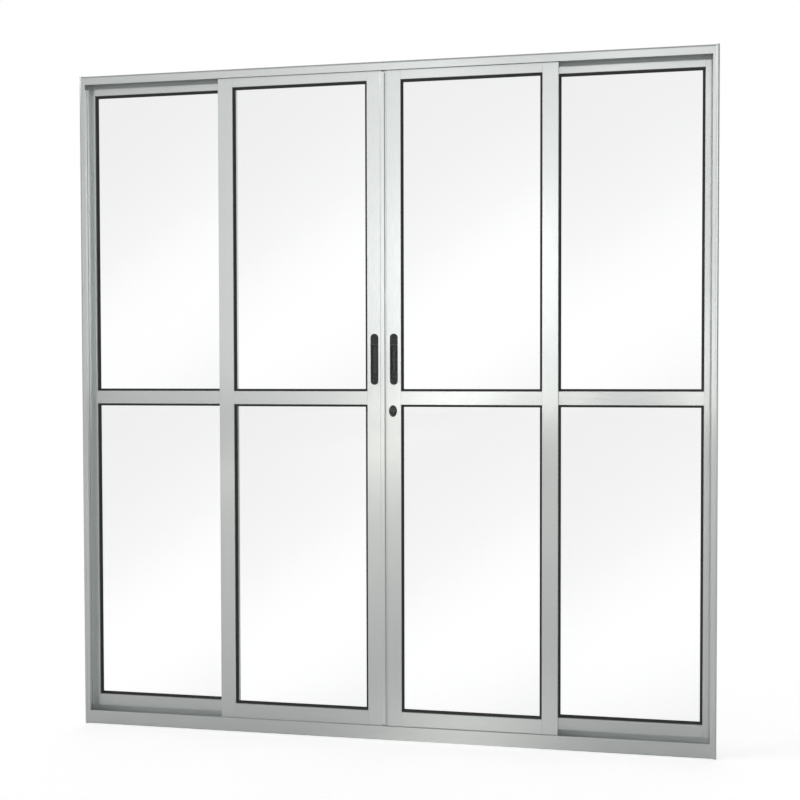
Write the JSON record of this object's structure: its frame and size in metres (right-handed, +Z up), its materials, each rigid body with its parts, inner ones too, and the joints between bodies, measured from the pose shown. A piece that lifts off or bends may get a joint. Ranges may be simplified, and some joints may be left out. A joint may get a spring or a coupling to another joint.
{
  "type": "sliding glass patio door",
  "caption": "Aluminium sliding patio door: fixed glazed outer leaves, sliding glazed centre leaves with flush pulls and a keyed lock, in a two-track frame.",
  "frame": {"origin": "middle of the sill's underside, half way through the frame's depth", "axes": "+X along the opening to the right seen from the front, +Y from the front face to the back, +Z up"},
  "size_m": [2, 0.068, 2.1],
  "materials": {
    "anodised_aluminium": "natural anodised, satin, fine extrusion lines",
    "clear_glass": "clear flat glass, 4 mm",
    "glazing_rubber": "matt black rubber",
    "black_pull": "satin black moulding",
    "dark_lock": "dark painted zinc",
    "lock_barrel_steel": "dark plated",
    "nylon": "black nylon",
    "zinc_housing": "zinc plated steel"
  },
  "bodies": {
    "frame": {"head": "anodised_aluminium", "left_fixed_bottom_rail": "anodised_aluminium", "left_fixed_gaskets": "glazing_rubber", "left_fixed_jamb_stile": "anodised_aluminium", "left_fixed_lap_stile": "anodised_aluminium", "left_fixed_mid_rail": "anodised_aluminium", "left_fixed_panes": "clear_glass", "left_fixed_setting_blocks": "nylon", "left_fixed_top_rail": "anodised_aluminium", "left_jamb": "anodised_aluminium", "right_fixed_bottom_rail": "anodised_aluminium", "right_fixed_gaskets": "glazing_rubber", "right_fixed_jamb_stile": "anodised_aluminium", "right_fixed_lap_stile": "anodised_aluminium", "right_fixed_mid_rail": "anodised_aluminium", "right_fixed_panes": "clear_glass", "right_fixed_setting_blocks": "nylon", "right_fixed_top_rail": "anodised_aluminium", "right_jamb": "anodised_aluminium", "sill": "anodised_aluminium"},
    "left_sliding_leaf": {"astragal": "anodised_aluminium", "left_pull": "black_pull", "left_sliding_bottom_rail": "anodised_aluminium", "left_sliding_gaskets": "glazing_rubber", "left_sliding_lap_stile": "anodised_aluminium", "left_sliding_meeting_stile": "anodised_aluminium", "left_sliding_mid_rail": "anodised_aluminium", "left_sliding_panes": "clear_glass", "left_sliding_roller_housings": "zinc_housing", "left_sliding_roller_wheels": "nylon", "left_sliding_top_rail": "anodised_aluminium"},
    "right_sliding_leaf": {"lock_barrel": "lock_barrel_steel", "lock_rose": "dark_lock", "rebate": "anodised_aluminium", "right_pull": "black_pull", "right_sliding_bottom_rail": "anodised_aluminium", "right_sliding_gaskets": "glazing_rubber", "right_sliding_lap_stile": "anodised_aluminium", "right_sliding_meeting_stile": "anodised_aluminium", "right_sliding_mid_rail": "anodised_aluminium", "right_sliding_panes": "clear_glass", "right_sliding_roller_housings": "zinc_housing", "right_sliding_roller_wheels": "nylon", "right_sliding_top_rail": "anodised_aluminium"}
  },
  "joints": [
    {"name": "left_leaf_slide", "type": "slide", "parent": "frame", "child": "left_sliding_leaf", "axis": [-1, 0, 0], "range_m": [0, 0.45]},
    {"name": "right_leaf_slide", "type": "slide", "parent": "frame", "child": "right_sliding_leaf", "axis": [1, 0, 0], "range_m": [0, 0.45]}
  ]
}
